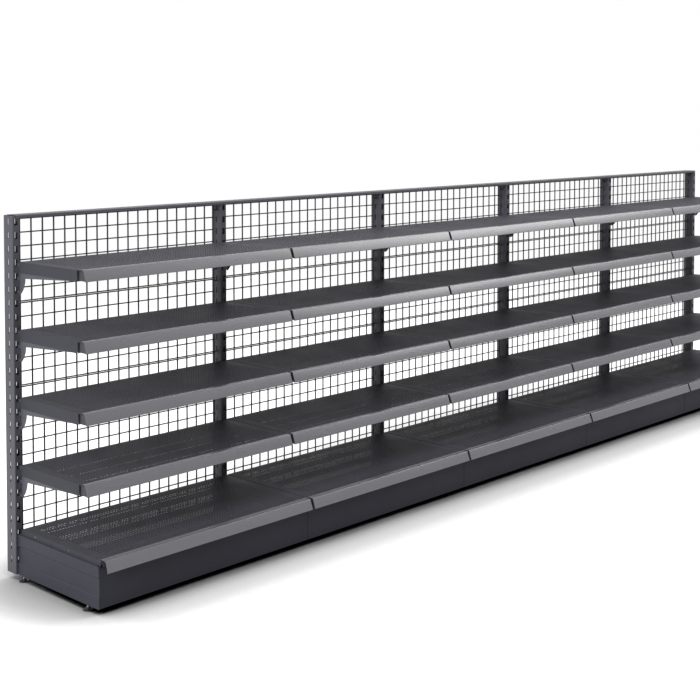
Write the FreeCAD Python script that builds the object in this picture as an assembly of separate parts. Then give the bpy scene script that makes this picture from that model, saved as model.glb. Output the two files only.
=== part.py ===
import FreeCAD, Part
import os
from math import cos, radians, sin

from FreeCAD import Vector

# Wall gondola shelving run: slotted uprights on levelling feet, wire mesh backs, a closed base and
# four levels of sheet metal shelves hooked into the uprights. Millimetres, +Z up, +X along the run,
# the shopper stands on the -Y side. The origin is on the floor at the centre of the overall box.

# ---- driving dimensions -------------------------------------------------------------------------
bays = 5                      # shelf bays in the run
bay_pitch = 1000.0            # upright centre to upright centre
levels = 4                    # hooked shelves above the base deck

floor_gap = 25.0              # floor to the foot of an upright
upright_length = 1325.0
upright_width = 30.0          # along the run
upright_depth = 60.0          # front to back
upright_wall = 2.0
upright_corner = 3.0          # outside corner radius

slot_pitch = 50.0
slot_height = 25.0
slot_width_front = 14.5       # slots in the front and back walls
slot_width_side = 8.0         # slots in the two side walls
top_slot_drop = 11.0          # top of the upright down to the top of its first slot

first_shelf_slot = 3          # slot that takes the top hook of the highest shelf
slots_per_level = 5           # shelf spacing, in slots
shelf_rise = 18.0             # seat of a bracket's top hook up to the deck surface
shelf_reach = 398.0           # front of the uprights to the nose of a shelf deck
base_reach = 503.0            # front of the uprights to the nose of the base deck
base_deck_top = 193.0         # floor to the surface of the base deck
rear_gap = 15.0               # front of the uprights to the rear edge of every deck
bay_gap = 2.0                 # upright centre line to the side of a deck

deck_sheet = 1.2
shelf_side_drop = 41.0        # height of a shelf deck's folded sides
shelf_side_setback = 20.0     # nose of a shelf deck back to the front end of those sides
shelf_rear_drop = 25.0
shelf_front_drop = 34.0
shelf_lip_setback = 12.0      # nose of a shelf deck back to its folded front
base_side_drop = 21.0
rib_count = 3                 # stiffening channels under each deck
rib_width = 30.0
rib_depth = 15.0
rib_side_gap = 12.0           # side of the deck to the end of a rib

bracket_plate = 2.0
bracket_side_gap = 0.8        # folded side of a deck to its bracket
bracket_rear_height = 60.0
bracket_front_height = 40.0
bracket_front_gap = 8.0       # front end of a deck's sides to the front end of its bracket
tail_below_hook = 4.0         # seat of a bracket's lowest hook down to the tip of its tail
tail_width = 35.0             # widest part of the tail, under the bracket
hooks_per_bracket = 3
hook_height = 12.0
hook_drop = 6.0               # how far a hook drops behind the slotted wall
hook_thickness = 3.5
hook_play = 0.3               # hook to the inside of the slotted wall

strip_sheet = 1.5
strip_end_gap = 7.0           # upright centre line to the end of a ticket strip
strip_height = 41.0           # vertical height of the slanted face
strip_lean = 15.5             # how far the face leans out over that height
strip_lap = 6.0               # strip lying on the deck's front edge
strip_lip = 8.0               # folded lower lip
shelf_strip_reach = 11.0      # nose of a shelf deck to the upper edge of its strip
base_strip_reach = 20.0       # nose of the base deck to the upper edge of its strip
cheek_depth = 25.0            # folded end of a shelf strip, at its upper edge
nose_drop = 20.0              # depth of the base deck's folded nose
nose_reach = 17.0

cover_bottom = 23.0           # floor to the lower edge of the kick plates and end covers
cover_sheet = 1.5
kick_setback = 3.0            # nose of the base deck back to the face of the kick plate
kick_return = 15.0            # folded upper and lower edges of the kick plate
kick_end_gap = 1.0            # upright centre line to the end of a kick plate
kick_clearance = 4.0          # under the base deck's nose

arm_web = 2.5
arm_flange = 2.5
arm_half_width = 18.0
arm_foot_window = 30.0        # opening in the arm's web above each foot
arm_foot_window_play = 6.0    # tip of a foot's screw to the upper edge of that opening
arm_hooks = 2                 # hooks of a base arm, in the lowest slots
end_foot_inset = 6.0          # feet of the two end arms, towards the run

foot_disc_radius = 18.0
foot_disc_height = 3.0
foot_cone_height = 8.0
foot_cone_top_radius = 6.0
foot_screw_radius = 4.0
foot_screw_length = 54.0      # floor to the tip of the screw
foot_hole_clearance = 0.4
rear_foot_place = 20.0        # front of the uprights to the rear feet
front_foot_setback = 83.0     # nose of the base deck back to the front feet
nut_flats = 13.0
nut_height = 6.5
nut_clearance = 0.08

wire = 5.0
cell_width = 49.25            # spacing of the upright wires
cell_height = 51.1            # spacing of the level wires
cells_high = 6
panel_gap = 6.4               # centre to centre of the border wires of stacked panels
mesh_top_drop = 14.0          # top of the uprights down to the first level wire
mesh_plane = 30.0             # front of the uprights back to the middle of the mesh
wire_overhang = 8.0           # level wires past the outer upright wires, at least as much beside them
lug_entry = 5.0               # hooked wire ends inside the upright's side slot

rail_flange = 10.0            # top of the uprights down to the edges of the rail
rail_sheet = 1.5
rail_joint = 1.0              # gap between the rails of neighbouring bays

# ---- places that follow -------------------------------------------------------------------------
uprights = bays + 1
slot_count = int((upright_length - top_slot_drop) // slot_pitch)
arm_hook_slots = range(slot_count - arm_hooks, slot_count)
cells_across = int((bay_pitch - upright_width - 2.0 * wire_overhang) // cell_width)
panel_pitch = cells_high * cell_height + panel_gap
panels_per_bay = int((upright_length - mesh_top_drop) // panel_pitch)
tail_length = shelf_rise + (hooks_per_bracket - 1) * slot_pitch + tail_below_hook
shelf_side_end = shelf_reach - shelf_side_setback
shelf_front_lip = shelf_reach - shelf_lip_setback
front_foot_place = base_reach - front_foot_setback
run_start = -bays * bay_pitch / 2.0
strip_front = base_reach + base_strip_reach + strip_lean
rail_back = upright_depth + rail_sheet
front_plane = (strip_front - rail_back) / 2.0        # Y of the uprights' front faces
upright_top = floor_gap + upright_length
arm_top = base_deck_top - base_side_drop
arm_bottom = floor_gap
deck_length = bay_pitch - 2.0 * bay_gap
strip_length = bay_pitch - 2.0 * strip_end_gap
bracket_offset = bay_gap + deck_sheet + bracket_side_gap


def upright_x(index):
    """Centre line of upright 0, 1, 2 ..."""
    return run_start + index * bay_pitch


def slot_seat(index):
    """Height of the lower edge of a slot, counted from the top."""
    return upright_top - top_slot_drop - index * slot_pitch - slot_height


def shelf_top(level):
    """Height of a shelf deck's surface; level 1 is the highest."""
    return slot_seat(first_shelf_slot + (level - 1) * slots_per_level) + shelf_rise


# ---- helpers: y is measured forward from the front faces of the uprights ------------------------
def box(x0, x1, y0, y1, z0, z1):
    """A block between two x, two forward distances and two heights."""
    corner = Vector(x0, front_plane - y1, z0)
    return Part.makeBox(x1 - x0, y1 - y0, z1 - z0, corner)


def side_profile(points, x0, x1):
    """A closed outline of (forward, height) points, extruded from x0 to x1."""
    corners = [Vector(x0, front_plane - y, z) for y, z in points]
    face = Part.Face(Part.makePolygon(corners + corners[:1]))
    return face.extrude(Vector(x1 - x0, 0, 0))


def bent_sheet(points, thickness, x0, x1):
    """Folded sheet: an open path of (forward, height) points, thickened to its right-hand side."""
    inner = []
    for index, (y, z) in enumerate(points):
        before = points[max(index - 1, 0)]
        after = points[min(index + 1, len(points) - 1)]
        normals = []
        for a, b in ((before, (y, z)), ((y, z), after)):
            run, rise = b[0] - a[0], b[1] - a[1]
            length = (run * run + rise * rise) ** 0.5
            if length > 0:
                normals.append((rise / length, -run / length))
        ny = sum(n[0] for n in normals) / len(normals)
        nz = sum(n[1] for n in normals) / len(normals)
        scale = thickness / (ny * ny + nz * nz)
        inner.append((y + ny * scale, z + nz * scale))
    return side_profile(points + inner[::-1], x0, x1)


def cylinder(x, forward, z0, z1, radius):
    """An upright round bar."""
    return Part.makeCylinder(radius, z1 - z0, Vector(x, front_plane - forward, z0))


def joined(shapes):
    """One solid from touching or overlapping ones."""
    return shapes[0].multiFuse(shapes[1:]).removeSplitter()


def export(shape, node):
    """One STEP file for each node."""
    shape.exportStep("parts/" + node + ".step")


# ---- frame --------------------------------------------------------------------------------------
def make_upright(x):
    """Rectangular tube with a ladder of slots in all four walls."""
    half = upright_width / 2.0
    outer = box(x - half, x + half, -upright_depth, 0, floor_gap, upright_top)
    upright_edges = [e for e in outer.Edges if abs(e.tangentAt(e.FirstParameter).z) > 0.99]
    outer = outer.makeFillet(upright_corner, upright_edges)
    bore = box(x - half + upright_wall, x + half - upright_wall,
               upright_wall - upright_depth, -upright_wall, floor_gap - 1, upright_top + 1)
    bore_edges = [e for e in bore.Edges if abs(e.tangentAt(e.FirstParameter).z) > 0.99]
    bore = bore.makeFillet(upright_corner - upright_wall, bore_edges)
    cuts = [bore]
    for index in range(slot_count):
        low = slot_seat(index)
        high = low + slot_height
        cuts.append(box(x - slot_width_front / 2, x + slot_width_front / 2,
                        -upright_depth - 1, 1, low, high))
        cuts.append(box(x - half - 1, x + half + 1, -mesh_plane - slot_width_side / 2,
                        -mesh_plane + slot_width_side / 2, low, high))
    return outer.cut(Part.makeCompound(cuts))


def make_top_rail(bay):
    """Inverted channel over the tops of two uprights, from centre line to centre line."""
    left = upright_x(bay) + rail_joint / 2
    right = upright_x(bay + 1) - rail_joint / 2
    low = upright_top - rail_flange
    block = box(left, right, -rail_back, rail_sheet, low, upright_top + rail_sheet)
    hollow = box(left - 1, right + 1, -upright_depth, 0, low - 1, upright_top)
    return block.cut(hollow)


def panel_top(panel):
    """Height of the top border wire of one mesh panel; panel 0 is the highest."""
    return upright_top - mesh_top_drop - panel * panel_pitch


def lug_slots(panel):
    """The first and the last slot whose seat lies inside a panel's height."""
    top = panel_top(panel)
    bottom = top - cells_high * cell_height
    inside = [i for i in range(slot_count)
              if bottom - wire / 2 <= slot_seat(i) and slot_seat(i) + wire <= top + wire / 2]
    return inside[0], inside[-1]


def make_mesh_panel(bay, panel):
    """Wire grille with hooked ends that sit in the side slots of the two uprights."""
    centre = (upright_x(bay) + upright_x(bay + 1)) / 2
    half_span = cells_across * cell_width / 2
    top = panel_top(panel)
    bottom = top - cells_high * cell_height
    r = wire / 2
    back = front_plane + mesh_plane + r

    def flat(x0, x1, z0, z1):
        corners = [Vector(x0, back, z0), Vector(x1, back, z0), Vector(x1, back, z1),
                   Vector(x0, back, z1)]
        return Part.makePolygon(corners + corners[:1])

    outline = flat(centre - half_span - r, centre + half_span + r, bottom - r, top + r)
    openings = []
    for column in range(cells_across):
        left = centre - half_span + column * cell_width + r
        for row in range(cells_high):
            low = bottom + row * cell_height + r
            openings.append(flat(left, left + cell_width - wire, low, low + cell_height - wire))
    grille = Part.Face([outline] + openings).extrude(Vector(0, -wire, 0))
    ends = []
    for side in (-1, 1):
        outer_wire = centre + side * half_span
        for row in range(cells_high + 1):
            z = bottom + row * cell_height
            tip = outer_wire + side * wire_overhang
            ends.append(box(min(outer_wire, tip), max(outer_wire, tip),
                            -mesh_plane - r, -mesh_plane + r, z - r, z + r))
        seat = upright_x(bay if side < 0 else bay + 1) - side * (upright_width / 2 - lug_entry)
        for slot in lug_slots(panel):
            z = slot_seat(slot)
            ends.append(box(min(outer_wire, seat), max(outer_wire, seat),
                            -mesh_plane - r, -mesh_plane + r, z, z + wire))
    return joined([grille] + ends)


# ---- base ---------------------------------------------------------------------------------------
def arm_hook(x, thickness, seat, start):
    """Tab that passes through a slot in the upright's front wall and drops behind it."""
    tab = box(x - thickness / 2, x + thickness / 2, -upright_wall - hook_play - hook_thickness,
              start, seat, seat + hook_height)
    drop = box(x - thickness / 2, x + thickness / 2, -upright_wall - hook_play - hook_thickness,
               -upright_wall - hook_play, seat - hook_drop, seat + hook_height)
    return [tab, drop]


def arm_sides(index):
    """How far the flanges reach to the left and right; the end arms are one-sided."""
    left = arm_web / 2 if index == 0 else arm_half_width
    right = arm_web / 2 if index == bays else arm_half_width
    return left, right


def foot_x(index):
    """Centre line of the feet under one base arm."""
    inset = {0: end_foot_inset, bays: -end_foot_inset}.get(index, 0.0)
    return upright_x(index) + inset


def make_base_arm(index):
    """Folded arm that carries the base decks, the kick plates and the feet."""
    x = upright_x(index)
    left, right = arm_sides(index)
    front = base_reach - kick_setback - cover_sheet
    flange_front = front - kick_return
    back = hook_play
    web_top = arm_top - kick_clearance - cover_sheet - hook_play
    pieces = [
        box(x - arm_web / 2, x + arm_web / 2, back, front, arm_bottom, web_top),
        box(x - arm_web / 2, x + arm_web / 2, back, flange_front, arm_bottom, arm_top),
        box(x - left, x + right, back, flange_front, arm_top - arm_flange, arm_top),
        box(x - left, x + right, back, front, arm_bottom, arm_bottom + arm_flange),
    ]
    for slot in arm_hook_slots:
        pieces += arm_hook(x, arm_web, slot_seat(slot), back)
    arm = joined(pieces)
    cuts = []
    for place in (rear_foot_place, front_foot_place):
        low = arm_bottom + arm_flange
        half = arm_foot_window / 2
        cuts.append(box(x - arm_web, x + arm_web, place - half, place + half,
                        low, foot_screw_length + arm_foot_window_play))
        cuts.append(cylinder(foot_x(index), place, arm_bottom - 1, low + 1,
                             foot_screw_radius + foot_hole_clearance))
    return arm.cut(Part.makeCompound(cuts))


def make_foot(index, place):
    """Levelling foot: a flared disc under a plain screw."""
    x = foot_x(index)
    y = front_plane - place
    cone_top = foot_disc_height + foot_cone_height
    outline = [(0, 0), (foot_disc_radius, 0), (foot_disc_radius, foot_disc_height),
               (foot_cone_top_radius, cone_top), (foot_screw_radius, cone_top),
               (foot_screw_radius, foot_screw_length), (0, foot_screw_length)]
    corners = [Vector(x + r, y, z) for r, z in outline]
    face = Part.Face(Part.makePolygon(corners + corners[:1]))
    return face.revolve(Vector(x, y, 0), Vector(0, 0, 1), 360)


def make_nut(index, place):
    """Nut on the lower flange of a base arm, around the screw of its foot."""
    x = foot_x(index)
    y = front_plane - place
    z = arm_bottom + arm_flange
    across_corners = nut_flats / 2 / cos(radians(30))
    corners = [Vector(x + across_corners * cos(radians(60 * k + 30)),
                      y + across_corners * sin(radians(60 * k + 30)), z) for k in range(6)]
    blank = Part.Face(Part.makePolygon(corners + corners[:1])).extrude(Vector(0, 0, nut_height))
    return blank.cut(cylinder(x, place, z - 1, z + nut_height + 1,
                              foot_screw_radius + nut_clearance))


def make_end_cover(side):
    """Flat sheet that closes the side of the base; side is -1 on the left, 1 on the right."""
    x = upright_x(0) if side < 0 else upright_x(bays)
    inner = x + side * arm_web / 2
    outer = inner + side * cover_sheet
    return box(min(inner, outer), max(inner, outer), hook_play, base_reach - kick_setback,
               cover_bottom, arm_top)


def make_kick_plate(bay):
    """Front skirt with folded upper and lower edges, between the floor and the base deck."""
    face = base_reach - kick_setback
    top = arm_top - kick_clearance
    path = [(face - kick_return, top), (face, top), (face, cover_bottom),
            (face - kick_return, cover_bottom)]
    return bent_sheet(path, cover_sheet, upright_x(bay) + kick_end_gap,
                      upright_x(bay + 1) - kick_end_gap)


# ---- decks --------------------------------------------------------------------------------------
def make_ribs(left, right, rear, front, top):
    """Stiffening channels along the underside of a deck."""
    spacing = (front - rear) / (rib_count + 1)
    ribs = []
    for number in range(1, rib_count + 1):
        middle = rear + number * spacing
        half = rib_width / 2
        channel = box(left, right, middle - half, middle + half, top - rib_depth, top)
        hollow = box(left - 1, right + 1, middle - half + deck_sheet, middle + half - deck_sheet,
                     top - rib_depth + deck_sheet, top + 1)
        ribs.append(channel.cut(hollow))
    return ribs


def make_strip(left, right, nose, reach, top, cheek):
    """Slanted ticket strip that laps the front edge of a deck; folded cheeks close its ends."""
    high = top + strip_sheet
    upper = nose + reach
    lower = upper + strip_lean
    low = high - strip_height
    path = [(nose - strip_lap, high), (upper, high), (lower, low), (lower - strip_lip, low)]
    pieces = [bent_sheet(path, strip_sheet, left, right)]
    if cheek > 0:
        under = top - deck_sheet
        outline = [(upper - cheek, under), (upper, under), (lower, low), (upper - cheek, low)]
        pieces.append(side_profile(outline, left, left + strip_sheet))
        pieces.append(side_profile(outline, right - strip_sheet, right))
    return joined(pieces)


def make_base_deck(bay):
    """Folded base deck with its open nose, and the ticket strip on it."""
    left = upright_x(bay) + bay_gap
    right = left + deck_length
    top = base_deck_top
    under = top - deck_sheet
    nose_path = [(base_reach - 1, top), (base_reach, top), (base_reach + nose_reach, top - nose_drop),
                 (base_reach + nose_reach, top)]
    inner_left = left + rib_side_gap
    inner_right = right - rib_side_gap
    pieces = [
        box(left, right, rear_gap, base_reach, under, top),
        box(left, left + deck_sheet, rear_gap, base_reach - deck_sheet, arm_top, top),
        box(right - deck_sheet, right, rear_gap, base_reach - deck_sheet, arm_top, top),
        box(left, right, rear_gap, rear_gap + deck_sheet, arm_top, top),
        bent_sheet(nose_path, deck_sheet, left, right),
    ]
    pieces += make_ribs(inner_left, inner_right, rear_gap, base_reach, under)
    deck = joined(pieces)
    strip = make_strip(upright_x(bay) + strip_end_gap, upright_x(bay) + strip_end_gap + strip_length,
                       base_reach, base_strip_reach, top, 0)
    return Part.makeCompound([deck, strip])


def make_shelf(bay, level):
    """Shelf deck folded down on four sides, and the ticket strip on it."""
    left = upright_x(bay) + bay_gap
    right = left + deck_length
    top = shelf_top(level)
    under = top - deck_sheet
    inner_left = left + rib_side_gap
    inner_right = right - rib_side_gap
    low = top - shelf_side_drop
    pieces = [
        box(left, right, rear_gap, shelf_reach, under, top),
        box(left, left + deck_sheet, rear_gap, shelf_side_end, low, top),
        box(right - deck_sheet, right, rear_gap, shelf_side_end, low, top),
        box(inner_left, inner_right, rear_gap, rear_gap + deck_sheet, top - shelf_rear_drop, top),
        box(inner_left, inner_right, shelf_front_lip - deck_sheet, shelf_front_lip,
            top - shelf_front_drop, top),
    ]
    pieces += make_ribs(inner_left, inner_right, rear_gap, shelf_side_end, under)
    deck = joined(pieces)
    strip = make_strip(upright_x(bay) + strip_end_gap, upright_x(bay) + strip_end_gap + strip_length,
                       shelf_reach, shelf_strip_reach, top, cheek_depth)
    return Part.makeCompound([deck, strip])


def make_bracket(upright, side, level):
    """Tapered plate with a curved tail and hooks; side is 1 to the right of its upright."""
    x = upright_x(upright) + side * (bracket_offset + bracket_plate / 2)
    left = x - bracket_plate / 2
    right = x + bracket_plate / 2
    top = shelf_top(level) - deck_sheet
    deck = shelf_top(level)
    front = shelf_side_end - bracket_front_gap
    low_rear = deck - bracket_rear_height
    low_front = deck - bracket_front_height
    tip = deck - tail_length

    def point(forward, z):
        return Vector(left, front_plane - forward, z)

    tail_front = point(rear_gap + tail_width, low_rear)
    tail_tip = point(rear_gap, tip)
    bulge = point(rear_gap + tail_width * 0.68, tip + (low_rear - tip) * 0.42)
    edges = [
        Part.makeLine(point(rear_gap, top), point(front, top)),
        Part.makeLine(point(front, top), point(front, low_front)),
        Part.makeLine(point(front, low_front), tail_front),
        Part.Arc(tail_front, bulge, tail_tip).toShape(),
        Part.makeLine(tail_tip, point(rear_gap, top)),
    ]
    plate = Part.Face(Part.Wire(edges)).extrude(Vector(right - left, 0, 0))
    pieces = [plate]
    first = first_shelf_slot + (level - 1) * slots_per_level
    for slot in range(first, first + hooks_per_bracket):
        pieces += arm_hook(x, bracket_plate, slot_seat(slot), rear_gap)
    return joined(pieces)


# ---- the assembly -------------------------------------------------------------------------------
os.makedirs("parts", exist_ok=True)

for number in range(uprights):
    export(make_upright(upright_x(number)), "upright_%d" % (number + 1))
    export(make_foot(number, rear_foot_place), "foot_rear_%d" % (number + 1))
    export(make_foot(number, front_foot_place), "foot_front_%d" % (number + 1))

export(Part.makeCompound([make_base_arm(n) for n in range(uprights)]), "base_arms")
export(Part.makeCompound([make_nut(n, place) for n in range(uprights)
                          for place in (rear_foot_place, front_foot_place)]), "foot_nuts")
export(make_end_cover(-1), "end_cover_left")
export(make_end_cover(1), "end_cover_right")
export(Part.makeCompound([make_top_rail(bay) for bay in range(bays)]), "top_rails")

for bay in range(bays):
    name = bay + 1
    panels = [make_mesh_panel(bay, panel) for panel in range(panels_per_bay)]
    export(Part.makeCompound(panels), "mesh_back_%d" % name)
    export(make_kick_plate(bay), "kick_plate_%d" % name)
    export(make_base_deck(bay), "base_deck_%d" % name)
    for level in range(1, levels + 1):
        export(make_shelf(bay, level), "shelf_bay%d_level%d" % (name, level))

all_levels = range(1, levels + 1)
export(Part.makeCompound([make_bracket(bay, 1, level) for bay in range(bays)
                          for level in all_levels]), "shelf_brackets_left")
export(Part.makeCompound([make_bracket(bay + 1, -1, level) for bay in range(bays)
                          for level in all_levels]), "shelf_brackets_right")
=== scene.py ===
from math import cos, pi, radians, sin, tan

import bmesh
import bpy
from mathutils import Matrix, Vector


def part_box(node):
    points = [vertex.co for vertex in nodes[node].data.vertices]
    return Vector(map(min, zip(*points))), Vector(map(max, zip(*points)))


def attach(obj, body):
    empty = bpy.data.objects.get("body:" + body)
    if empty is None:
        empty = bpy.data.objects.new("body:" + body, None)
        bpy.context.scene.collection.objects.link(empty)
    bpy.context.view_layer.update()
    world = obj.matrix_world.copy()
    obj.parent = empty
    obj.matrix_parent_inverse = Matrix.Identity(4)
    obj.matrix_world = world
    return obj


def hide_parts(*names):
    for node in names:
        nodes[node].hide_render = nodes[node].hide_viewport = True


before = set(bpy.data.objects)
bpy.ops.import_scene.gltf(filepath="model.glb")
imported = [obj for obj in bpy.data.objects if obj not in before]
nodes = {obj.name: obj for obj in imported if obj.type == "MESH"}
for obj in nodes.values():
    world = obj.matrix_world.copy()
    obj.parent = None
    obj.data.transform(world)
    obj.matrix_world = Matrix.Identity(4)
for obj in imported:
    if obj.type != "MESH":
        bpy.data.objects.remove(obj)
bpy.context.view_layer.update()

# Looks for the wall gondola run. Metres, +Z up, +X along the run, the shopper stands on the -Y side.
# Shared meshes are built with x from the left end of the piece, y backwards from the uprights'
# front faces (so a deck's nose is at a negative y) and z from the deck's surface or the floor.

# ---- sizes of the visible pieces ----------------------------------------------------------------
REAR_GAP = 0.015              # uprights' front faces to the rear edge of a deck
DECK_SHEET = 0.0012
STRIP_SHEET = 0.0015
STRIP_INSET = 0.005           # side of a deck to the end of its ticket strip
STRIP_HEIGHT = 0.041
STRIP_LEAN = 0.0155
STRIP_LAP = 0.006
STRIP_LIP = 0.008
SHELF_STRIP_REACH = 0.011     # nose of a shelf deck to the upper edge of its strip
BASE_STRIP_REACH = 0.020
CHEEK_DEPTH = 0.025
SHELF_SIDE_DROP = 0.041
SHELF_SIDE_SETBACK = 0.020
SHELF_REAR_DROP = 0.025
SHELF_FRONT_DROP = 0.034
SHELF_LIP_SETBACK = 0.012
CHEEK_TOP_INSET = 0.0015      # front of a cheek behind the strip's face, above and below
CHEEK_FOOT_INSET = 0.0022
CHEEK_FOOT_CORNER = 0.004
CHEEK_FOOT_RISE = 0.0016      # lower edge of the strip up to the cheek's lower edge
CHEEK_TOE_RISE = 0.002        # and up to the foot of its slanted front
BASE_SIDE_DROP = 0.021
NOSE_DROP = 0.020
NOSE_REACH = 0.017
SHELF_SIDE_CHAMFER = 0.006    # lower front corner of a shelf deck's side
SHELF_REAR_LIP = 0.008
SHELF_HEM = 0.0036            # surface of a shelf deck down to the underside of its nose
CORNER_TAB = 0.018            # folded end of a shelf deck's side
TAB_RISE = 0.001              # lower edge of the side up to the tab's
FLANGE_HOLE = 0.005           # round-cornered holes in the side flanges of a base deck
FLANGE_HOLE_CORNER = 0.0015
FLANGE_PITCH_Y = 0.105
FLANGE_PITCH_Z = 0.012
FLANGE_BORDER_Y = 0.030
FLANGE_BORDER_Z = 0.003
RIB_COUNT = 3
RIB_WIDTH = 0.030
RIB_DEPTH = 0.015
RIB_SIDE_GAP = 0.012
WIRE_RADIUS = 0.0025          # level wires
UPRIGHT_WIRE_RADIUS = 0.0031
WIRE_STEP = 0.0019            # crossing wires sit this far in front of and behind their mid plane
CELL_WIDTH = 0.04925
CELL_HEIGHT = 0.0511
CELLS_HIGH = 6
PANEL_GAP = 0.0064
WIRE_OVERHANG = 0.008
SLOT_PITCH = 0.050
SLOT_HEIGHT = 0.025
TOP_SLOT_DROP = 0.011
COVER_SHEET = 0.0015
COVER_PROUD = 0.0030          # end cover's edges stand this far outside the field between its creases
COVER_CREASES = (0.0400, 0.0440, 0.1065, 0.1095)  # ends of the two slopes, up from its lower edge
KICK_RETURN = 0.015
UPRIGHT_WALL = 0.002
UPRIGHT_CORNER = 0.003
FRONT_SLOT = (0.0145, 0.025)
SIDE_SLOT = (0.0052, 0.025)
SLOT_CORNER = 0.0012
SLOT_BORDER = 0.002           # plain sheet beside the front slots and above the top one
SIDE_SLOT_BORDER = 0.008
RAIL_SHEET = 0.0015
RAIL_JOINT = 0.001

HOLE_PITCH_X = 0.0125         # perforation of the decks
HOLE_PITCH_Y = 0.015
HOLE_WIDTH = 0.0078           # along the run
HOLE_LENGTH = 0.0048
HOLE_CORNER = 0.0013
DECK_BORDER = 0.019           # plain sheet in front of and behind the holes
SIDE_BORDER = 0.040           # and beside them

BAYS = len([n for n in nodes if n.startswith("base_deck_")])
LEVELS = len([n for n in nodes if n.startswith("shelf_bay1_")])
UPRIGHTS = len([n for n in nodes if n.startswith("upright_")])


# ---- materials ----------------------------------------------------------------------------------
def linear(code):
    """Linear colour from an sRGB triple of 0 to 255."""
    return [((c / 255 + 0.055) / 1.055) ** 2.4 if c > 10 else c / 255 / 12.92 for c in code]


class Nodes:
    """Small helper that adds and links shader nodes."""

    def __init__(self, name):
        self.material = bpy.data.materials.new(name)
        self.material.use_nodes = True
        self.tree = self.material.node_tree
        self.shader = self.tree.nodes["Principled BSDF"]
        self.out = self.tree.nodes["Material Output"]
        self.place = self.add("ShaderNodeTexCoord").outputs["Object"]

    def add(self, kind, **values):
        node = self.tree.nodes.new(kind)
        for key, value in values.items():
            setattr(node, key, value)
        return node

    def link(self, a, b):
        self.tree.links.new(a, b)

    def noise(self, scale, detail=2.0, rough=0.5, stretch=(1, 1, 1)):
        """Noise in object space; stretch multiplies each axis."""
        mapping = self.add("ShaderNodeMapping")
        mapping.inputs["Scale"].default_value = stretch
        self.link(self.place, mapping.inputs["Vector"])
        node = self.add("ShaderNodeTexNoise")
        node.inputs["Scale"].default_value = scale
        node.inputs["Detail"].default_value = detail
        node.inputs["Roughness"].default_value = rough
        self.link(mapping.outputs["Vector"], node.inputs["Vector"])
        return node.outputs["Fac"]

    def ramp(self, factor, stops):
        """Colour ramp from (position, colour or grey) stops."""
        node = self.add("ShaderNodeValToRGB")
        elements = node.color_ramp.elements
        elements.remove(elements[1])
        elements[0].position = stops[0][0]
        for position, _ in stops[1:]:
            elements.new(position)
        for element, (_, colour) in zip(elements, stops):
            grey = isinstance(colour, float)
            element.color = (colour,) * 3 + (1,) if grey else tuple(colour) + (1,)
        self.link(factor, node.inputs["Fac"])
        return node.outputs["Color"]

    def mix(self, factor, a, b, mode="MIX"):
        """Mix of two colours, each a socket or a plain colour."""
        node = self.add("ShaderNodeMix", data_type="RGBA", blend_type=mode)
        for socket, value in ((node.inputs["Factor"], factor), (node.inputs[6], a),
                              (node.inputs[7], b)):
            if hasattr(value, "is_linked"):
                self.link(value, socket)
            elif isinstance(value, float):
                socket.default_value = value
            else:
                socket.default_value = tuple(value) + (1,)
        return node.outputs[2]

    def spread(self, factor, low, high, start=0.3, end=0.7):
        """A factor remapped to the range from low to high."""
        node = self.add("ShaderNodeMapRange")
        node.inputs["From Min"].default_value = start
        node.inputs["From Max"].default_value = end
        node.inputs["To Min"].default_value = low
        node.inputs["To Max"].default_value = high
        self.link(factor, node.inputs["Value"])
        return node.outputs["Result"]

    def bump(self, height, strength, distance, after=None):
        node = self.add("ShaderNodeBump")
        node.inputs["Strength"].default_value = strength
        node.inputs["Distance"].default_value = distance
        self.link(height, node.inputs["Height"])
        if after is not None:
            self.link(after, node.inputs["Normal"])
        return node.outputs["Normal"]


def coat(name, code, roughness, specular, grain=0.10, scuff=0.05, streak=(1, 1, 1)):
    """Textured powder coat: orange peel, faint clouding, fine speckle and a few pale rub marks."""
    n = Nodes(name)
    base = linear(code)
    clouds = n.noise(1.7, 4.0, 0.55, streak)
    colour = n.ramp(clouds, [(0.28, [c * 0.90 for c in base]), (0.5, base),
                             (0.74, [c * 1.11 for c in base])])
    speckle = n.noise(950.0, 1.0)
    colour = n.mix(n.spread(speckle, 0.0, 0.22, 0.45, 0.75), colour, [c * 1.55 for c in base])
    marks = n.noise(9.0, 5.0, 0.72, (1.0, 4.5, 4.5))
    rub = n.spread(marks, 0.0, scuff, 0.60, 0.74)
    colour = n.mix(rub, colour, [c * 2.6 + 0.02 for c in base])
    n.link(colour, n.shader.inputs["Base Color"])
    n.link(n.spread(n.noise(5.0, 4.0, 0.6, streak), roughness - 0.05, roughness + 0.05),
           n.shader.inputs["Roughness"])
    n.shader.inputs["Specular IOR Level"].default_value = specular
    fine = n.bump(n.noise(1300.0, 1.0), grain, 0.00015)
    n.link(n.bump(n.noise(330.0, 2.0), grain * 0.8, 0.0004, fine), n.shader.inputs["Normal"])
    return n.material


def zinc_plate(name):
    """Bright zinc with the mottled spangle and dull patches of a plated screw."""
    n = Nodes(name)
    spangle = n.add("ShaderNodeTexVoronoi")
    spangle.inputs["Scale"].default_value = 420.0
    n.link(n.place, spangle.inputs["Vector"])
    tone = n.ramp(spangle.outputs["Distance"], [(0.0, linear((176, 178, 180))),
                                                (1.0, linear((140, 143, 147)))])
    dull = n.spread(n.noise(120.0, 3.0), 0.0, 0.55)
    n.link(n.mix(dull, tone, linear((112, 112, 110))), n.shader.inputs["Base Color"])
    n.shader.inputs["Metallic"].default_value = 0.85
    n.link(n.spread(n.noise(260.0, 2.0), 0.28, 0.48), n.shader.inputs["Roughness"])
    n.link(n.bump(n.noise(900.0, 1.0), 0.08, 0.0001), n.shader.inputs["Normal"])
    return n.material


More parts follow.
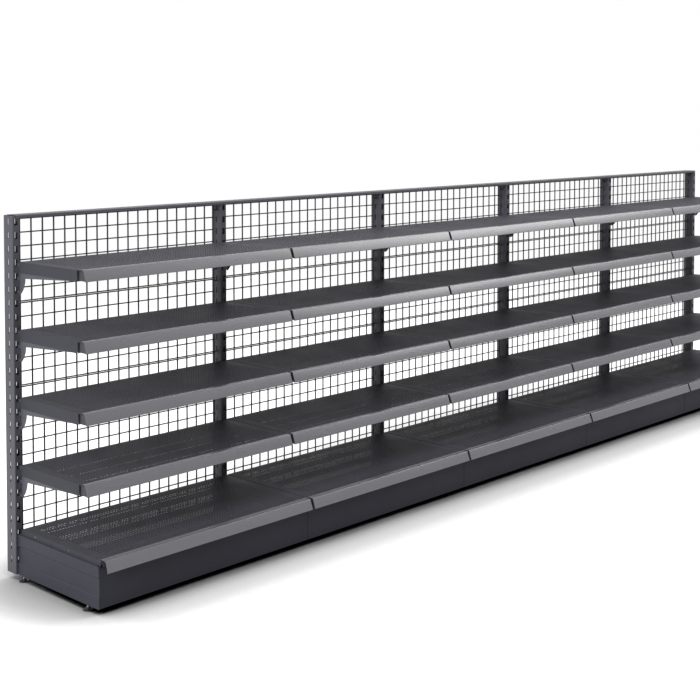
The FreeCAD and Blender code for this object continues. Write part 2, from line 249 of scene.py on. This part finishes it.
def moulded_foot(name):
    """Black moulded plastic with a fine grain and dusty upper faces."""
    n = Nodes(name)
    facing = n.add("ShaderNodeSeparateXYZ")
    n.link(n.add("ShaderNodeNewGeometry").outputs["Normal"], facing.inputs["Vector"])
    dust = n.spread(facing.outputs["Z"], 0.0, 0.05, 0.3, 1.0)
    base = n.ramp(n.noise(60.0, 4.0), [(0.3, linear((14, 14, 16))), (0.7, linear((22, 22, 24)))])
    n.link(n.mix(dust, base, linear((96, 94, 92))), n.shader.inputs["Base Color"])
    n.link(n.spread(n.noise(200.0, 2.0), 0.30, 0.44), n.shader.inputs["Roughness"])
    n.shader.inputs["Specular IOR Level"].default_value = 0.35
    n.link(n.bump(n.noise(1600.0, 1.0), 0.15, 0.00012), n.shader.inputs["Normal"])
    return n.material


powder = coat("powder_coat_anthracite", (63, 63, 71), 0.46, 0.42)
# Kick plates: this coat's colour is set darker than the uprights' and end covers' to paint in the
# shade that falls on them under the base strip.
cover_coat_painted_shade = coat("cover_coat_anthracite", (43, 43, 51), 0.55, 0.15)
side_coat = coat("side_coat_anthracite", (50, 50, 59), 0.52, 0.20)
deck_finish = coat("deck_coat_anthracite", (49, 49, 56), 0.58, 0.20, 0.12, 0.08)
# Ticket strips: this coat's colour is set lighter than the uprights' to paint in the softbox
# reflection that brightens them.
strip_finish_painted_reflection = coat("strip_coat_painted_reflection", (84, 83, 89), 0.26, 0.85, 0.006, 0.0,
                    (0.35, 2, 2))
cheek_finish = coat("cheek_plastic", (46, 46, 50), 0.50, 0.35)
wire_finish = coat("wire_coat_anthracite", (46, 46, 53), 0.48, 0.30, 0.06)
zinc = zinc_plate("zinc_plate")
foot_black = moulded_foot("foot_black")


# ---- mesh helpers -------------------------------------------------------------------------------
def to_mesh(name, vertices, faces, material, smooth=True):
    """Mesh from plain lists with outward faces, shaded smooth except across sharp edges."""
    mesh = bpy.data.meshes.new(name)
    mesh.from_pydata(vertices, [], faces)
    work = bmesh.new()
    work.from_mesh(mesh)
    bmesh.ops.recalc_face_normals(work, faces=work.faces)
    work.to_mesh(mesh)
    work.free()
    if smooth:
        mesh.shade_smooth()
        mesh.set_sharp_from_angle(angle=radians(32))
    mesh.materials.append(material)
    return mesh


def piece(name, mesh, at, body, replaced):
    """Object from a mesh, riding on a body and standing for the nodes that it replaces."""
    obj = bpy.data.objects.new(name, mesh)
    obj.location = at
    bpy.context.scene.collection.objects.link(obj)
    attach(obj, body)
    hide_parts(*replaced)


class Lists:
    """Vertices and faces gathered from several closed shells."""

    def __init__(self):
        self.vertices = []
        self.faces = []

    def add(self, vertices, faces):
        start = len(self.vertices)
        self.vertices += vertices
        self.faces += [tuple(start + i for i in face) for face in faces]


def with_bends(points, radius, steps=4):
    """The open path with a bend of about that radius at each inner corner."""
    path = [Vector(points[0])]
    for before, corner, after in zip(points, points[1:], points[2:]):
        before, corner, after = Vector(before), Vector(corner), Vector(after)
        a, b = (before - corner).normalized(), (after - corner).normalized()
        angle = a.angle(b)
        reach = min(radius / tan(angle / 2), (before - corner).length * 0.45,
                    (after - corner).length * 0.45)
        start, end = corner + a * reach, corner + b * reach
        for k in range(steps + 1):
            t = k / steps
            path.append(start * (1 - t) ** 2 + corner * 2 * t * (1 - t) + end * t * t)
    path.append(Vector(points[-1]))
    return path


def folded(lists, points, thickness, x0, x1, radius=0.0025, steps=4):
    """Folded sheet: a path of (forward, height) points with rounded bends, thickened to its right."""
    path = with_bends(points, radius, steps)
    inner = []
    for index, p in enumerate(path):
        normals = []
        for a, b in ((path[max(index - 1, 0)], p), (p, path[min(index + 1, len(path) - 1)])):
            if (b - a).length > 1e-9:
                d = (b - a).normalized()
                normals.append(Vector((d.y, -d.x)))
        n = sum(normals, Vector((0, 0))) / len(normals)
        inner.append(p + n * thickness / max(n.length_squared, 0.25))
    count = len(path)
    vertices = []
    for x in (x0, x1):
        vertices += [(x, -p.x, p.y) for p in path] + [(x, -p.x, p.y) for p in inner]
    far = 2 * count
    faces = []
    for k in range(count - 1):
        faces.append((k, k + 1, far + k + 1, far + k))
        faces.append((count + k, far + count + k, far + count + k + 1, count + k + 1))
        faces.append((k, count + k, count + k + 1, k + 1))
        faces.append((far + k, far + k + 1, far + count + k + 1, far + count + k))
    for k in (0, count - 1):
        faces.append((k, far + k, far + count + k, count + k))
    lists.add(vertices, faces)


def lattice(low, high, pitch, border):
    """Evenly spaced lines centred between two edges, with the edges themselves at the ends."""
    cells = max(1, int((high - low - 2 * border) / pitch + 1e-6))
    start = (low + high - cells * pitch) / 2
    return [low] + [start + k * pitch for k in range(cells + 1)] + [high]


def pierced(lists, us, vs, w_range, hole, corner, axes=(0, 1, 2)):
    """Sheet with a hole right through each inner cell of a lattice; axes place u, v and w."""
    nu, nv = len(us), len(vs)
    a, b = hole[0] / 2, hole[1] / 2
    c = corner
    ring = [(a, -b + c), (a, b - c), (a - c, b), (c - a, b),
            (-a, b - c), (-a, -b + c), (c - a, -b), (a - c, -b)]
    flat = [(u, v) for v in vs for u in us]
    faces_up = []
    rings = []
    for j in range(nv - 1):
        for i in range(nu - 1):
            c0, c1 = j * nu + i, j * nu + i + 1
            c3, c2 = c0 + nu, c1 + nu
            if not (0 < i < nu - 2 and 0 < j < nv - 2):
                faces_up.append((c0, c1, c2, c3))
                continue
            o = len(flat)
            middle_u, middle_v = (us[i] + us[i + 1]) / 2, (vs[j] + vs[j + 1]) / 2
            flat += [(middle_u + du, middle_v + dv) for du, dv in ring]
            rings.append(o)
            faces_up += [(c1, c2, o + 1, o), (c2, o + 2, o + 1), (c2, c3, o + 3, o + 2),
                         (c3, o + 4, o + 3), (c3, c0, o + 5, o + 4), (c0, o + 6, o + 5),
                         (c0, c1, o + 7, o + 6), (c1, o, o + 7)]
    count = len(flat)
    faces = list(faces_up)
    faces += [tuple(count + k for k in reversed(face)) for face in faces_up]
    for o in rings:
        for k in range(8):
            p, q = o + k, o + (k + 1) % 8
            faces.append((p, q, count + q, count + p))
    edge = list(range(nu - 1))
    edge += [j * nu + nu - 1 for j in range(nv - 1)]
    edge += [(nv - 1) * nu + i for i in range(nu - 1, 0, -1)]
    edge += [j * nu for j in range(nv - 1, 0, -1)]
    for k, p in enumerate(edge):
        q = edge[(k + 1) % len(edge)]
        faces.append((q, p, count + p, count + q))
    vertices = []
    for w in (w_range[1], w_range[0]):
        for u, v in flat:
            place = [0.0, 0.0, 0.0]
            place[axes[0]], place[axes[1]], place[axes[2]] = u, v, w
            vertices.append(tuple(place))
    lists.add(vertices, faces)


def block(lists, outline, x0, x1):
    """A closed outline of (forward, height) points, extruded from x0 to x1."""
    count = len(outline)
    vertices = [(x, -y, z) for x in (x0, x1) for y, z in outline]
    faces = [(k, (k + 1) % count, count + (k + 1) % count, count + k) for k in range(count)]
    faces += [tuple(range(count - 1, -1, -1)), tuple(range(count, 2 * count))]
    lists.add(vertices, faces)


def rod(lists, start, end, radius, sides=10):
    """Round bar with chamfered ends, between two points."""
    start, end = Vector(start), Vector(end)
    along = (end - start).normalized()
    across = along.orthogonal().normalized()
    other = along.cross(across)
    vertices, faces = [], []
    chamfer = along * radius * 0.25
    stations = [(start, 0.72), (start + chamfer, 1.0), (end - chamfer, 1.0), (end, 0.72)]
    for centre, share in stations:
        for k in range(sides):
            angle = radians(360 * k / sides)
            offset = across * cos(angle) + other * sin(angle)
            vertices.append(tuple(centre + offset * radius * share))
    for s in range(3):
        for k in range(sides):
            a, b = s * sides + k, s * sides + (k + 1) % sides
            faces.append((a, b, b + sides, a + sides))
    faces += [tuple(range(sides - 1, -1, -1)), tuple(range(3 * sides, 4 * sides))]
    lists.add(vertices, faces)


def turned(lists, profile, sides=40):
    """Turned body about the Z axis, from (radius, height) points, bottom to top."""
    vertices, faces = [], []
    for r, z in profile:
        for k in range(sides):
            angle = radians(360 * k / sides)
            vertices.append((r * cos(angle), r * sin(angle), z))
    rings = len(profile)
    for s in range(rings - 1):
        for k in range(sides):
            a, b = s * sides + k, s * sides + (k + 1) % sides
            faces.append((a, b, b + sides, a + sides))
    faces += [tuple(range(sides - 1, -1, -1)), tuple(range((rings - 1) * sides, rings * sides))]
    lists.add(vertices, faces)


# ---- decks and ticket strips --------------------------------------------------------------------
def ribs(lists, width, rear, front):
    """Stiffening channels under a deck."""
    spacing = (front - rear) / (RIB_COUNT + 1)
    half = RIB_WIDTH / 2
    for number in range(1, RIB_COUNT + 1):
        middle = rear + number * spacing
        path = [(middle - half, -DECK_SHEET), (middle - half, -RIB_DEPTH - DECK_SHEET),
                (middle + half, -RIB_DEPTH - DECK_SHEET), (middle + half, -DECK_SHEET)]
        folded(lists, path[::-1], DECK_SHEET, RIB_SIDE_GAP, width - RIB_SIDE_GAP, 0.002, 3)


def deck_top(lists, width, front):
    """Perforated surface of a deck, from its rear fold to its nose."""
    pierced(lists, lattice(0, width, HOLE_PITCH_X, SIDE_BORDER),
            lattice(-front, -REAR_GAP, HOLE_PITCH_Y, DECK_BORDER), (-DECK_SHEET, 0),
            (HOLE_WIDTH, HOLE_LENGTH), HOLE_CORNER)


def shelf_mesh(width, reach):
    """Shelf deck: perforated top, sides with corner tabs, rear fold, nose, front lip and ribs."""
    lists = Lists()
    deck_top(lists, width, reach)
    side_front = reach - SHELF_SIDE_SETBACK
    for x0 in (0, width - DECK_SHEET):
        block(lists, [(REAR_GAP, -DECK_SHEET), (side_front, -DECK_SHEET),
                      (side_front, -SHELF_SIDE_DROP + SHELF_SIDE_CHAMFER),
                      (side_front - SHELF_SIDE_CHAMFER, -SHELF_SIDE_DROP),
                      (REAR_GAP, -SHELF_SIDE_DROP)],
              x0, x0 + DECK_SHEET)
    tab_low = -SHELF_SIDE_DROP + TAB_RISE
    for x0 in (DECK_SHEET, width - DECK_SHEET - CORNER_TAB):
        block(lists, [(side_front - DECK_SHEET, -DECK_SHEET), (side_front, -DECK_SHEET),
                      (side_front, tab_low), (side_front - DECK_SHEET, tab_low)],
              x0, x0 + CORNER_TAB)
    left, right = RIB_SIDE_GAP, width - RIB_SIDE_GAP
    lip = reach - SHELF_LIP_SETBACK
    folded(lists, [(REAR_GAP, -DECK_SHEET), (REAR_GAP, -SHELF_REAR_DROP),
                   (REAR_GAP + SHELF_REAR_LIP, -SHELF_REAR_DROP)],
           -DECK_SHEET, left, right, 0.002, 3)
    folded(lists, [(reach, -DECK_SHEET), (reach, -SHELF_HEM), (lip, -SHELF_HEM),
                   (lip, -SHELF_FRONT_DROP)], DECK_SHEET, left, right, 0.0015, 3)
    ribs(lists, width, REAR_GAP, side_front)
    return to_mesh("shelf_deck", lists.vertices, lists.faces, deck_finish, False)


def base_mesh(width, reach):
    """Base deck: perforated top, pierced side flanges, rear fold, open V nose and ribs."""
    lists = Lists()
    deck_top(lists, width, reach)
    for x0 in (0, width - DECK_SHEET):
        pierced(lists,
                lattice(-reach + DECK_SHEET, -REAR_GAP, FLANGE_PITCH_Y, FLANGE_BORDER_Y),
                lattice(-BASE_SIDE_DROP, -DECK_SHEET, FLANGE_PITCH_Z, FLANGE_BORDER_Z),
                (x0, x0 + DECK_SHEET), (FLANGE_HOLE, FLANGE_HOLE), FLANGE_HOLE_CORNER, (1, 2, 0))
    folded(lists, [(REAR_GAP, -DECK_SHEET), (REAR_GAP, -BASE_SIDE_DROP)], -DECK_SHEET,
           DECK_SHEET, width - DECK_SHEET)
    folded(lists, [(reach, 0), (reach + NOSE_REACH, -NOSE_DROP), (reach + NOSE_REACH, 0)],
           DECK_SHEET, 0, width, 0.003, 4)
    ribs(lists, width, REAR_GAP, reach)
    return to_mesh("base_deck", lists.vertices, lists.faces, deck_finish, False)


def strip_mesh(name, length, nose, reach, cheeks):
    """Slanted ticket strip with rounded bends, and its end cheeks where it has them."""
    lists = Lists()
    upper, lower = nose + reach, nose + reach + STRIP_LEAN
    high, low = STRIP_SHEET, STRIP_SHEET - STRIP_HEIGHT
    folded(lists, [(nose - STRIP_LAP, high), (upper, high), (lower, low),
                   (lower - STRIP_LIP, low)], STRIP_SHEET, 0, length, 0.0024, 5)
    mesh = to_mesh(name, lists.vertices, lists.faces, strip_finish_painted_reflection)
    if not cheeks:
        return mesh, None
    ends = Lists()
    rear, foot = upper - CHEEK_DEPTH, low + CHEEK_FOOT_RISE
    outline = [(rear, -DECK_SHEET), (upper - CHEEK_TOP_INSET, -DECK_SHEET),
               (lower - CHEEK_FOOT_INSET, low + CHEEK_TOE_RISE),
               (lower - CHEEK_FOOT_CORNER, foot),
               (rear + CHEEK_FOOT_CORNER, foot), (rear, foot + CHEEK_FOOT_CORNER)]
    for x0 in (0, length - STRIP_SHEET):
        block(ends, outline, x0, x0 + STRIP_SHEET)
    return mesh, to_mesh(name + "_cheeks", ends.vertices, ends.faces, cheek_finish)


lo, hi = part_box("shelf_bay1_level1")
front_plane = hi.y + REAR_GAP
deck_width = hi.x - lo.x
strip_length = deck_width - 2 * STRIP_INSET
shelf_reach = front_plane - lo.y - STRIP_LEAN - SHELF_STRIP_REACH
base_lo, base_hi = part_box("base_deck_1")
base_reach = front_plane - base_lo.y - STRIP_LEAN - BASE_STRIP_REACH

shelf_deck = shelf_mesh(deck_width, shelf_reach)
base_deck = base_mesh(deck_width, base_reach)
shelf_strip, shelf_cheeks = strip_mesh("shelf_strip", strip_length, shelf_reach,
                                       SHELF_STRIP_REACH, True)
base_strip, _ = strip_mesh("base_strip", strip_length, base_reach, BASE_STRIP_REACH, False)

for bay in range(1, BAYS + 1):
    node = "base_deck_%d" % bay
    lo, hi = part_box(node)
    at = Vector((lo.x, front_plane, hi.z - STRIP_SHEET))
    inset = at + Vector((STRIP_INSET, 0, 0))
    piece("base_deck_sheet_%d" % bay, base_deck, at, node, [node])
    piece("base_strip_%d" % bay, base_strip, inset, node, [node])
    for level in range(1, LEVELS + 1):
        node = "shelf_bay%d_level%d" % (bay, level)
        lo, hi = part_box(node)
        at = Vector((lo.x, front_plane, hi.z - STRIP_SHEET))
        inset = at + Vector((STRIP_INSET, 0, 0))
        tag = "%d_%d" % (bay, level)
        piece("shelf_deck_" + tag, shelf_deck, at, node, [node])
        piece("shelf_strip_" + tag, shelf_strip, inset, node, [node])
        piece("shelf_cheeks_" + tag, shelf_cheeks, inset, node, [node])


# ---- wire mesh backs ----------------------------------------------------------------------------
def mesh_back(bay):
    """Upright wires welded in front of level wires, and wire ends in the uprights' side slots."""
    node = "mesh_back_%d" % bay
    lo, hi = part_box(node)
    up_lo, up_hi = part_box("upright_1")
    centre = (lo.x + hi.x) / 2
    middle = (lo.y + hi.y) / 2
    panel_pitch = CELLS_HIGH * CELL_HEIGHT + PANEL_GAP
    panels = round((hi.z - lo.z + PANEL_GAP - 2 * WIRE_RADIUS) / panel_pitch)
    clear = (hi.x - lo.x) / 2 - 2 * WIRE_OVERHANG
    across = int(2 * clear / CELL_WIDTH)
    half_span = across * CELL_WIDTH / 2
    slots = int((up_hi.z - up_lo.z - TOP_SLOT_DROP) // SLOT_PITCH)
    seats = [up_hi.z - TOP_SLOT_DROP - i * SLOT_PITCH - SLOT_HEIGHT for i in range(slots)]
    front, back = middle - WIRE_STEP, middle + WIRE_STEP
    lists = Lists()
    for panel in range(panels):
        top = hi.z - WIRE_RADIUS - panel * panel_pitch
        bottom = top - CELLS_HIGH * CELL_HEIGHT
        for column in range(across + 1):
            x = centre - half_span + column * CELL_WIDTH
            rod(lists, (x, front, bottom - WIRE_RADIUS), (x, front, top + WIRE_RADIUS),
                UPRIGHT_WIRE_RADIUS)
        for row in range(CELLS_HIGH + 1):
            z = bottom + row * CELL_HEIGHT
            reach = half_span + WIRE_OVERHANG
            rod(lists, (centre - reach, back, z), (centre + reach, back, z), WIRE_RADIUS)
        inside = [s for s in seats if bottom - WIRE_RADIUS <= s
                  and s + 2 * WIRE_RADIUS <= top + WIRE_RADIUS]
        for seat in (inside[0], inside[-1]):
            z = seat + WIRE_RADIUS
            rod(lists, (lo.x, middle, z), (centre - half_span, middle, z), WIRE_RADIUS)
            rod(lists, (centre + half_span, middle, z), (hi.x, middle, z), WIRE_RADIUS)
    mesh = to_mesh("wires_%d" % bay, lists.vertices, lists.faces, wire_finish)
    piece("back_wires_%d" % bay, mesh, (0, 0, 0), "frame", [node])


for bay in range(1, BAYS + 1):
    mesh_back(bay)


# ---- kick plates, end covers and top rails ------------------------------------------------------
for bay in range(1, BAYS + 1):
    node = "kick_plate_%d" % bay
    lo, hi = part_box(node)
    lists = Lists()
    face, low, high = front_plane - lo.y, lo.z, hi.z
    folded(lists, [(face - KICK_RETURN, high), (face, high), (face, low),
                   (face - KICK_RETURN, low)], COVER_SHEET, 0, hi.x - lo.x, 0.003, 5)
    mesh = to_mesh("kick_sheet_%d" % bay, lists.vertices, lists.faces, cover_coat_painted_shade)
    piece("kick_sheet_%d" % bay, mesh, (lo.x, front_plane, 0), node, [node])


def end_cover(node, side):
    """Pressed side sheet of the base, its middle set in a little between two creases."""
    lo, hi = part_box(node)
    outer = hi.x if side > 0 else lo.x
    inner = outer - side * COVER_SHEET
    low_start, low_end, high_start, high_end = (lo.z + rise for rise in COVER_CREASES)
    rows = [(lo.z, COVER_PROUD), (low_start, COVER_PROUD), (low_end, 0.0), (high_start, 0.0),
            (high_end, COVER_PROUD), (hi.z, COVER_PROUD)]
    vertices = []
    for y in (lo.y, hi.y):
        for z, step in rows:
            vertices.append((outer + side * step, y, z))
        for z, _ in rows:
            vertices.append((inner, y, z))
    n = len(rows)
    faces = []
    for k in range(n - 1):
        faces.append((k, k + 1, 2 * n + k + 1, 2 * n + k))
        faces.append((n + k, 3 * n + k, 3 * n + k + 1, n + k + 1))
        faces.append((k, n + k, n + k + 1, k + 1))
        faces.append((2 * n + k, 2 * n + k + 1, 3 * n + k + 1, 3 * n + k))
    for k in (0, n - 1):
        faces.append((k, 2 * n + k, 3 * n + k, n + k))
    mesh = to_mesh(node + "_sheet", vertices, faces, side_coat, False)
    piece(node + "_sheet", mesh, (0, 0, 0), "frame", [node])


end_cover("end_cover_left", -1)
end_cover("end_cover_right", 1)


def top_rails():
    """Inverted channels with rounded bends, one for each bay, with a fine joint between them."""
    lo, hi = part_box("top_rails")
    pitch = (hi.x - lo.x + RAIL_JOINT) / BAYS
    rear, front = front_plane - hi.y, front_plane - lo.y
    for bay in range(BAYS):
        lists = Lists()
        folded(lists, [(rear, lo.z), (rear, hi.z), (front, hi.z), (front, lo.z)], RAIL_SHEET,
               0, pitch - RAIL_JOINT, 0.0022, 4)
        mesh = to_mesh("rail_%d" % (bay + 1), lists.vertices, lists.faces, powder)
        piece("rail_%d" % (bay + 1), mesh, (lo.x + bay * pitch, front_plane, 0), "frame",
              ["top_rails"])


top_rails()


# ---- uprights -----------------------------------------------------------------------------------
def bar(lists, outline, z0, z1):
    """An upright prism from an outline of (x, y) points."""
    count = len(outline)
    vertices = [(x, y, z) for z in (z0, z1) for x, y in outline]
    faces = [(k, (k + 1) % count, count + (k + 1) % count, count + k) for k in range(count)]
    faces += [(k, k + 1, count - 2 - k, count - 1 - k) for k in range(count // 2 - 1)]
    faces += [tuple(count + i for i in reversed(f)) for f in faces[count:]]
    lists.add(vertices, faces)


def upright_mesh(width, depth, low, high):
    """Tube with rounded corners and a ladder of slots in all four walls."""
    lists = Lists()
    half = width / 2
    levels, z = [high, high - SLOT_BORDER], high - SLOT_BORDER
    slots = int((high - low - TOP_SLOT_DROP) // SLOT_PITCH)
    short = 2 * (TOP_SLOT_DROP + SLOT_HEIGHT / 2 - SLOT_BORDER)
    for number in range(slots):
        z -= short if number % 2 == 0 else 2 * SLOT_PITCH - short
        levels.append(z)
    levels = [low] + levels[::-1]
    flat = half - UPRIGHT_CORNER
    across = [-flat, -flat + SLOT_BORDER, flat - SLOT_BORDER, flat]
    for y0 in (0, depth - UPRIGHT_WALL):
        pierced(lists, across, levels, (y0, y0 + UPRIGHT_WALL), FRONT_SLOT, SLOT_CORNER, (0, 2, 1))
    rear_edge = depth - UPRIGHT_CORNER
    along = [UPRIGHT_CORNER, UPRIGHT_CORNER + SIDE_SLOT_BORDER, rear_edge - SIDE_SLOT_BORDER,
             rear_edge]
    for x0 in (-half, half - UPRIGHT_WALL):
        pierced(lists, along, levels, (x0, x0 + UPRIGHT_WALL), SIDE_SLOT, SLOT_CORNER, (1, 2, 0))
    inner = UPRIGHT_CORNER - UPRIGHT_WALL
    for side, y, start in ((-1, UPRIGHT_CORNER, 180), (1, UPRIGHT_CORNER, 270),
                           (1, depth - UPRIGHT_CORNER, 0), (-1, depth - UPRIGHT_CORNER, 90)):
        turns = [radians(start + 15 * k) for k in range(7)]
        outline = [(side * flat + UPRIGHT_CORNER * cos(t), y + UPRIGHT_CORNER * sin(t))
                   for t in turns]
        outline += [(side * flat + inner * cos(t), y + inner * sin(t)) for t in reversed(turns)]
        bar(lists, outline, low, high)
    return to_mesh("upright", lists.vertices, lists.faces, powder)


lo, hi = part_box("upright_1")
upright_sheet = upright_mesh(hi.x - lo.x, hi.y - lo.y, lo.z, hi.z)
for number in range(1, UPRIGHTS + 1):
    node = "upright_%d" % number
    lo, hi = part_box(node)
    piece("upright_tube_%d" % number, upright_sheet, ((lo.x + hi.x) / 2, front_plane, 0), "frame",
          [node])


# ---- levelling feet -----------------------------------------------------------------------------
THREAD_START = 0.0125         # floor to the first turn of the thread
THREAD_PITCH = 0.00125
THREAD_RISE = 0.00062         # root up to the next crest
THREAD_END = 0.0016           # top of the screw down to the last turn
THREAD_ROOT = 0.0034
THREAD_CREST = 0.0040


def foot_meshes(radius, height):
    """Flared foot disc with a rounded rim, and its screw with a ring for each turn of thread."""
    disc = Lists()
    turned(disc, [(radius - 0.0015, 0.0), (radius, 0.0010), (radius, 0.0022),
                  (radius - 0.0010, 0.0032), (0.0120, 0.0058), (0.0085, 0.0082),
                  (0.0068, 0.0110), (0.0055, 0.0114)])
    screw = Lists()
    profile = [(0.0038, 0.0112)]
    z = THREAD_START
    while z < height - THREAD_END:
        profile += [(THREAD_ROOT, z), (THREAD_CREST, z + THREAD_RISE)]
        z += THREAD_PITCH
    profile += [(0.0032, height - 0.0003), (0.0028, height)]
    turned(screw, profile, 20)
    return (to_mesh("foot_disc", disc.vertices, disc.faces, foot_black),
            to_mesh("foot_screw", screw.vertices, screw.faces, zinc))


lo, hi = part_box("foot_rear_1")
disc_mesh, screw_mesh = foot_meshes((hi.x - lo.x) / 2, hi.z - lo.z)
for row in ("rear", "front"):
    for number in range(1, UPRIGHTS + 1):
        node = "foot_%s_%d" % (row, number)
        lo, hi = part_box(node)
        at = ((lo.x + hi.x) / 2, (lo.y + hi.y) / 2, lo.z)
        piece("disc_%s_%d" % (row, number), disc_mesh, at, node, [node])
        piece("screw_%s_%d" % (row, number), screw_mesh, at, node, [node])


# ---- finishes of the solids that stay -----------------------------------------------------------
def finish_node(name, material):
    """Gives a solid from the frame its finish."""
    mesh = nodes[name].data
    mesh.materials.clear()
    mesh.materials.append(material)


finish_node("base_arms", powder)
finish_node("shelf_brackets_left", powder)
finish_node("shelf_brackets_right", powder)
finish_node("foot_nuts", zinc)


# ---- floor, background and light ----------------------------------------------------------------
FLOOR_HALF = 40.0
FADE_START = 6.0              # the floor fades into the white background between these distances
FADE_END = 9.0
FLOOR_BOUNCE = 0.60           # the floor's colour for light that it throws back on the object
FLOOR_LIFT = 0.30             # brings the lit floor up to white
CONTACT_REACH = 0.55          # how far from the object the contact shadow is felt
CONTACT_TONES = ((0.34, 0.0), (0.46, 0.15), (0.52, 0.25), (0.60, 0.35), (0.70, 0.44),
                 (0.80, 0.54), (0.89, 0.72), (0.97, 1.0))


def seen_ray(tree):
    """1 for camera rays and for what shows in reflections and through clear material."""
    rays = tree.nodes.new("ShaderNodeLightPath")
    value = rays.outputs["Is Camera Ray"]
    for kind in ("Is Glossy Ray", "Is Transmission Ray"):
        either = tree.nodes.new("ShaderNodeMath")
        either.operation = "MAXIMUM"
        tree.links.new(value, either.inputs[0])
        tree.links.new(rays.outputs[kind], either.inputs[1])
        value = either.outputs[0]
    return value


def make_floor():
    """Pale floor that keeps the object's shadow and fades into the white background."""
    mesh = bpy.data.meshes.new("floor")
    h = FLOOR_HALF
    mesh.from_pydata([(-h, -h, 0), (h, -h, 0), (h, h, 0), (-h, h, 0)], [], [(0, 1, 2, 3)])
    floor = bpy.data.objects.new("floor", mesh)
    bpy.context.scene.collection.objects.link(floor)
    n = Nodes("floor_white")
    diffuse = n.add("ShaderNodeBsdfDiffuse")
    seen = seen_ray(n.tree)
    near = n.add("ShaderNodeAmbientOcclusion", samples=16)
    near.inputs["Distance"].default_value = CONTACT_REACH
    contact = n.ramp(near.outputs["AO"], CONTACT_TONES)
    n.link(n.mix(seen, (FLOOR_BOUNCE,) * 3, contact), diffuse.inputs["Color"])
    lift = n.add("ShaderNodeEmission")
    n.link(n.mix(seen, (0.0, 0.0, 0.0), contact), lift.inputs["Color"])
    lift.inputs["Strength"].default_value = FLOOR_LIFT
    surface = n.add("ShaderNodeAddShader")
    n.link(diffuse.outputs[0], surface.inputs[0])
    n.link(lift.outputs[0], surface.inputs[1])
    length = n.add("ShaderNodeVectorMath", operation="LENGTH")
    n.link(n.place, length.inputs[0])
    fade = n.spread(length.outputs["Value"], 0.0, 1.0, FADE_START, FADE_END)
    clear = n.add("ShaderNodeBsdfTransparent")
    blend = n.add("ShaderNodeMixShader")
    n.link(fade, blend.inputs[0])
    n.link(surface.outputs[0], blend.inputs[1])
    n.link(clear.outputs[0], blend.inputs[2])
    n.link(blend.outputs[0], n.out.inputs["Surface"])
    mesh.materials.append(n.material)


def make_world(level):
    """White to the camera and in reflections, a plain grey level as light."""
    world = bpy.data.worlds.new("studio")
    bpy.context.scene.world = world
    world.use_nodes = True
    tree = world.node_tree
    tree.nodes.clear()
    out = tree.nodes.new("ShaderNodeOutputWorld")
    light = tree.nodes.new("ShaderNodeBackground")
    light.inputs["Color"].default_value = (1, 1, 1, 1)
    light.inputs["Strength"].default_value = level
    seen = tree.nodes.new("ShaderNodeBackground")
    seen.inputs["Color"].default_value = (1, 1, 1, 1)
    seen.inputs["Strength"].default_value = 1.0
    mix = tree.nodes.new("ShaderNodeMixShader")
    tree.links.new(seen_ray(tree), mix.inputs[0])
    tree.links.new(light.outputs[0], mix.inputs[1])
    tree.links.new(seen.outputs[0], mix.inputs[2])
    tree.links.new(mix.outputs[0], out.inputs["Surface"])


LIGHT_AIM = Vector((0, 0, 0.6))


def softbox(name, direction, distance, size, level):
    """Square area lamp aimed at the object; level 1 lights a facing white card to white."""
    data = bpy.data.lights.new(name, "AREA")
    data.shape = "SQUARE"
    data.size = size
    data.energy = level * (pi * distance) ** 2
    lamp = bpy.data.objects.new(name, data)
    lamp.location = LIGHT_AIM + Vector(direction).normalized() * distance
    lamp.rotation_euler = (LIGHT_AIM - lamp.location).to_track_quat("-Z", "Y").to_euler()
    bpy.context.scene.collection.objects.link(lamp)


make_floor()
make_world(0.34)
softbox("key_left", (-0.90, -0.16, 0.46), 12.0, 6.0, 0.85)
softbox("fill_right", (0.90, -0.46, 0.70), 12.0, 6.5, 0.55)
softbox("top", (0.05, -0.10, 1.0), 9.0, 6.0, 0.32)

# ---- camera -------------------------------------------------------------------------------------
CAMERA_PLACE = (-5.0967, -3.9000, 1.7287)
CAMERA_YAW = radians(43.435)  # from +X towards +Y
CAMERA_PITCH = radians(2.414)  # below the horizon
CAMERA_LENS = 66.812
CAMERA_SHIFT = -0.262

camera_data = bpy.data.cameras.new("camera")
camera_data.sensor_width = 36.0
camera_data.lens = CAMERA_LENS
camera_data.shift_y = CAMERA_SHIFT
camera = bpy.data.objects.new("camera", camera_data)
camera.location = CAMERA_PLACE
view_line = Vector((cos(CAMERA_YAW) * cos(CAMERA_PITCH), sin(CAMERA_YAW) * cos(CAMERA_PITCH),
                    -sin(CAMERA_PITCH)))
camera.rotation_euler = view_line.to_track_quat("-Z", "Y").to_euler()
bpy.context.scene.collection.objects.link(camera)
bpy.context.scene.camera = camera
bpy.context.scene.view_settings.view_transform = "Standard"
